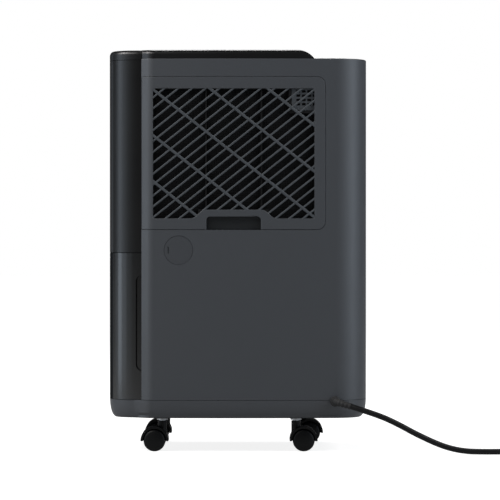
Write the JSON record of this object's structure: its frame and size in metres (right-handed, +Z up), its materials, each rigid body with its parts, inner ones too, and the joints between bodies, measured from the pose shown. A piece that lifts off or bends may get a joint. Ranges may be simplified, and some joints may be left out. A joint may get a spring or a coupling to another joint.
{
  "type": "dehumidifier",
  "caption": "Upright compressor dehumidifier on swivel casters, with a slide-out water tank, side intake grille and filter, top louvre and mains cord.",
  "frame": {"origin": "on the floor, under the middle of the casing", "axes": "+Z up; -X is the front with the water tank; -Y is the side with the intake grille"},
  "size_m": [0.66, 0.2627, 0.5477],
  "materials": {
    "grey_shell": "fine matt moulded plastic",
    "black_gloss": "satin black",
    "black_plastic": "matt black",
    "dark_plastic": "matt dark grey",
    "smoked_tank": "smoked, slightly see-through",
    "float_plastic": "pale foam",
    "steel_parts": "zinc plated",
    "copper_tube": "drawn copper",
    "aluminium_fins": "thin fin stock",
    "black_paint": "black paint",
    "rubber_feet": "soft rubber",
    "circuit_board": "printed circuit board",
    "cord_rubber": "black cord jacket",
    "caster_plastic": "black nylon"
  },
  "bodies": {
    "root": {"main_shell": "grey_shell", "base_pan": "grey_shell", "front_panel": "black_gloss", "top_cover": "black_gloss", "chassis": "dark_plastic", "casing_screws": "steel_parts", "tank_switch": "black_plastic", "humidity_sensor_cover": "dark_plastic", "drip_tray": "dark_plastic", "evaporator_coil": "copper_tube", "evaporator_fins": "aluminium_fins", "condenser_coil": "copper_tube", "condenser_fins": "aluminium_fins", "fan_housing": "dark_plastic", "fan_motor": "steel_parts", "compressor": "black_paint", "compressor_feet": "rubber_feet", "accumulator": "black_paint", "discharge_pipe": "copper_tube", "suction_pipe": "copper_tube", "capillary_tube": "copper_tube", "control_board": "circuit_board", "display_window": "black_gloss", "outlet_grille": "black_plastic", "cord_gland": "cord_rubber", "cord_tube": "cord_rubber", "cord_coil": "cord_rubber", "plug": "cord_rubber", "caster_stems": "steel_parts"},
    "tank": {"water_tank": "smoked_tank", "tank_lid": "dark_plastic"},
    "float": {"tank_float": "float_plastic"},
    "intake": {"intake_panel": "grey_shell", "filter_frame": "black_plastic", "filter_mesh": "black_plastic"},
    "drain_cap": {"drain_cap": "grey_shell"},
    "power_key": {"power_key": "black_plastic"},
    "speed_key": {"speed_key": "black_plastic"},
    "timer_key": {"timer_key": "black_plastic"},
    "humidity_key": {"humidity_key": "black_plastic"},
    "fan": {"fan_impeller": "black_plastic", "motor_shaft": "steel_parts"},
    "louvre": {"outlet_louvre": "black_gloss"},
    "caster_1": {"caster_hood_1": "caster_plastic", "caster_axle_1": "steel_parts"},
    "wheel_1_left": {"wheel_1_left": "caster_plastic"},
    "wheel_1_right": {"wheel_1_right": "caster_plastic"},
    "caster_2": {"caster_hood_2": "caster_plastic", "caster_axle_2": "steel_parts"},
    "wheel_2_left": {"wheel_2_left": "caster_plastic"},
    "wheel_2_right": {"wheel_2_right": "caster_plastic"},
    "caster_3": {"caster_hood_3": "caster_plastic", "caster_axle_3": "steel_parts"},
    "wheel_3_left": {"wheel_3_left": "caster_plastic"},
    "wheel_3_right": {"wheel_3_right": "caster_plastic"},
    "caster_4": {"caster_hood_4": "caster_plastic", "caster_axle_4": "steel_parts"},
    "wheel_4_left": {"wheel_4_left": "caster_plastic"},
    "wheel_4_right": {"wheel_4_right": "caster_plastic"}
  },
  "joints": [
    {"name": "tank_slide", "type": "slide", "parent": "root", "child": "tank", "axis": [-1, 0, 0], "range_m": [0, 0.165]},
    {"name": "float_hinge", "type": "hinge", "parent": "tank", "child": "float", "pos_m": [-0.07, 0.052, 0.2412], "axis": [0, -1, 0], "range_deg": [0, 7]},
    {"name": "intake_panel_slide", "type": "slide", "parent": "root", "child": "intake", "axis": [0, -1, 0], "range_m": [0, 0.09]},
    {"name": "drain_cap_slide", "type": "slide", "parent": "root", "child": "drain_cap", "axis": [0, -1, 0], "range_m": [0, 0.03]},
    {"name": "power_key_press", "type": "slide", "parent": "root", "child": "power_key", "axis": [0, 0, -1], "range_m": [0, 0.0012], "stiffness_N_per_m": 500},
    {"name": "speed_key_press", "type": "slide", "parent": "root", "child": "speed_key", "axis": [0, 0, -1], "range_m": [0, 0.0012], "stiffness_N_per_m": 500},
    {"name": "timer_key_press", "type": "slide", "parent": "root", "child": "timer_key", "axis": [0, 0, -1], "range_m": [0, 0.0012], "stiffness_N_per_m": 500},
    {"name": "humidity_key_press", "type": "slide", "parent": "root", "child": "humidity_key", "axis": [0, 0, -1], "range_m": [0, 0.0012], "stiffness_N_per_m": 500},
    {"name": "fan_spin", "type": "hinge", "parent": "root", "child": "fan", "pos_m": [-0.04, 0, 0.4], "axis": [0, 1, 0], "continuous": true},
    {"name": "louvre_hinge", "type": "hinge", "parent": "root", "child": "louvre", "pos_m": [0.0681, 0, 0.5449], "axis": [0, 1, 0], "range_deg": [0, 75]},
    {"name": "caster_1_swivel", "type": "hinge", "parent": "root", "child": "caster_1", "pos_m": [-0.1035, -0.075, 0.03], "axis": [0, 0, 1], "continuous": true},
    {"name": "wheel_1_left_spin", "type": "hinge", "parent": "caster_1", "child": "wheel_1_left", "pos_m": [-0.114, -0.075, 0.015], "axis": [0, 1, 0], "continuous": true},
    {"name": "wheel_1_right_spin", "type": "hinge", "parent": "caster_1", "child": "wheel_1_right", "pos_m": [-0.114, -0.075, 0.015], "axis": [0, 1, 0], "continuous": true},
    {"name": "caster_2_swivel", "type": "hinge", "parent": "root", "child": "caster_2", "pos_m": [0.0795, -0.075, 0.03], "axis": [0, 0, 1], "continuous": true},
    {"name": "wheel_2_left_spin", "type": "hinge", "parent": "caster_2", "child": "wheel_2_left", "pos_m": [0.09, -0.075, 0.015], "axis": [0, 1, 0], "continuous": true},
    {"name": "wheel_2_right_spin", "type": "hinge", "parent": "caster_2", "child": "wheel_2_right", "pos_m": [0.09, -0.075, 0.015], "axis": [0, 1, 0], "continuous": true},
    {"name": "caster_3_swivel", "type": "hinge", "parent": "root", "child": "caster_3", "pos_m": [-0.1035, 0.075, 0.03], "axis": [0, 0, 1], "continuous": true},
    {"name": "wheel_3_left_spin", "type": "hinge", "parent": "caster_3", "child": "wheel_3_left", "pos_m": [-0.114, 0.075, 0.015], "axis": [0, 1, 0], "continuous": true},
    {"name": "wheel_3_right_spin", "type": "hinge", "parent": "caster_3", "child": "wheel_3_right", "pos_m": [-0.114, 0.075, 0.015], "axis": [0, 1, 0], "continuous": true},
    {"name": "caster_4_swivel", "type": "hinge", "parent": "root", "child": "caster_4", "pos_m": [0.091, 0.075, 0.03], "axis": [0, 0, 1], "continuous": true},
    {"name": "wheel_4_left_spin", "type": "hinge", "parent": "caster_4", "child": "wheel_4_left", "pos_m": [0.1015, 0.075, 0.015], "axis": [0, 1, 0], "continuous": true},
    {"name": "wheel_4_right_spin", "type": "hinge", "parent": "caster_4", "child": "wheel_4_right", "pos_m": [0.1015, 0.075, 0.015], "axis": [0, 1, 0], "continuous": true}
  ]
}
